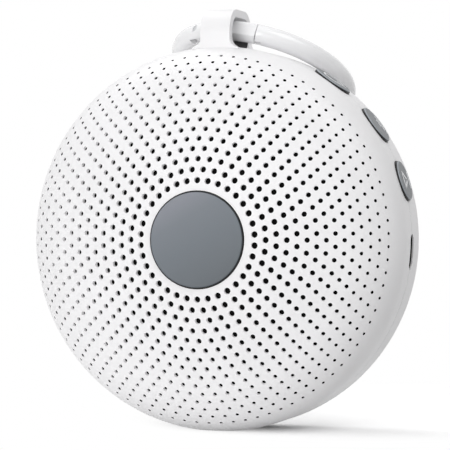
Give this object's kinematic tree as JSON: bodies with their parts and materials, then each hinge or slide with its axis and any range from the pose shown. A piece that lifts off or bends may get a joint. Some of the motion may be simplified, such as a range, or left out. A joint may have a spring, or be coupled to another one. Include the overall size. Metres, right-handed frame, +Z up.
{
  "type": "portable sound machine",
  "caption": "Round portable sound machine with a perforated front, a centre disc, side buttons, a charging socket and a carry ring through a lug on top.",
  "frame": {"origin": "on the small flat foot under the body, straight below the body's axis, at mid thickness", "axes": "+Z up, -Y out of the perforated front along the body's axis, +X towards the side with the buttons"},
  "size_m": [0.1, 0.0705, 0.1095],
  "materials": {
    "shell_white": "fine satin moulded plastic",
    "disc_grey": "satin slate grey plastic",
    "black_cloth": "fine black acoustic cloth",
    "ring_white": "glossy white plastic",
    "button_grey": "satin grey plastic",
    "black_plastic": "black moulded plastic",
    "steel": "bright zinc plated steel",
    "dark_steel": "black painted pressed steel",
    "board_green": "green lacquered board",
    "capacitor_can": "drawn cans",
    "ivory_plastic": "ivory moulded plastic",
    "battery_foil": "satin laminate pouch",
    "grey_foam": "closed cell foam",
    "red_wire": "insulated wire",
    "black_rubber": "black rubber",
    "cone_paper": "pressed paper",
    "spider_cloth": "resin stiffened cloth",
    "copper_wire": "wound copper wire",
    "ferrite": "ground ferrite",
    "terminal_board": "brown phenolic board",
    "clear_grey_rubber": "soft grey rubber"
  },
  "bodies": {
    "body": {"front_shell": "shell_white", "rear_shell": "shell_white", "centre_disc": "disc_grey", "dust_mesh": "black_cloth", "hanging_lug": "shell_white", "switch_housings": "steel", "socket_shell": "steel", "socket_tongue": "black_plastic", "main_board": "board_green", "controller_chip": "black_plastic", "amplifier_chip": "black_plastic", "memory_chip": "black_plastic", "capacitors": "capacitor_can", "battery_connector": "ivory_plastic", "speaker_connector": "ivory_plastic", "battery": "battery_foil", "battery_foam": "grey_foam", "battery_leads": "red_wire", "speaker_gasket": "grey_foam", "speaker_basket": "dark_steel", "speaker_surround": "black_rubber", "speaker_cone": "cone_paper", "speaker_spider": "spider_cloth", "voice_coil": "copper_wire", "speaker_magnet": "ferrite", "magnet_plate": "steel", "speaker_yoke": "steel", "speaker_terminals": "terminal_board", "speaker_leads": "red_wire", "speaker_screws": "steel", "case_screws": "steel", "rear_feet": "clear_grey_rubber"},
    "neck": {"ring_neck": "ring_white", "hinge_pin": "steel"},
    "ring": {"carry_ring": "ring_white"},
    "power_key": {"power_button": "button_grey", "power_plunger": "black_plastic"},
    "volume_key": {"volume_button": "button_grey", "volume_plunger": "black_plastic"},
    "sound_key": {"sound_button": "button_grey", "sound_plunger": "black_plastic"}
  },
  "joints": [
    {"name": "ring_swing", "type": "hinge", "parent": "body", "child": "neck", "pos_m": [0.00009, 0.00674, 0.10418], "axis": [0.9699, -0.2347, -0.0645], "range_deg": [0, 180]},
    {"name": "ring_open", "type": "hinge", "parent": "neck", "child": "ring", "pos_m": [-0.00788, 0.0097, 0.10426], "axis": [-0.5291, -0.7396, 0.416], "range_deg": [0, 8], "stiffness_Nm_per_rad": 0.02},
    {"name": "power_press", "type": "slide", "parent": "body", "child": "power_key", "axis": [-0.5807, 0, -0.8141], "range_m": [0, 0.0005], "stiffness_N_per_m": 3000},
    {"name": "volume_press", "type": "slide", "parent": "body", "child": "volume_key", "axis": [-0.809, 0, -0.5878], "range_m": [0, 0.0005], "stiffness_N_per_m": 3000},
    {"name": "sound_press", "type": "slide", "parent": "body", "child": "sound_key", "axis": [-0.9537, 0, -0.3007], "range_m": [0, 0.0005], "stiffness_N_per_m": 3000}
  ]
}
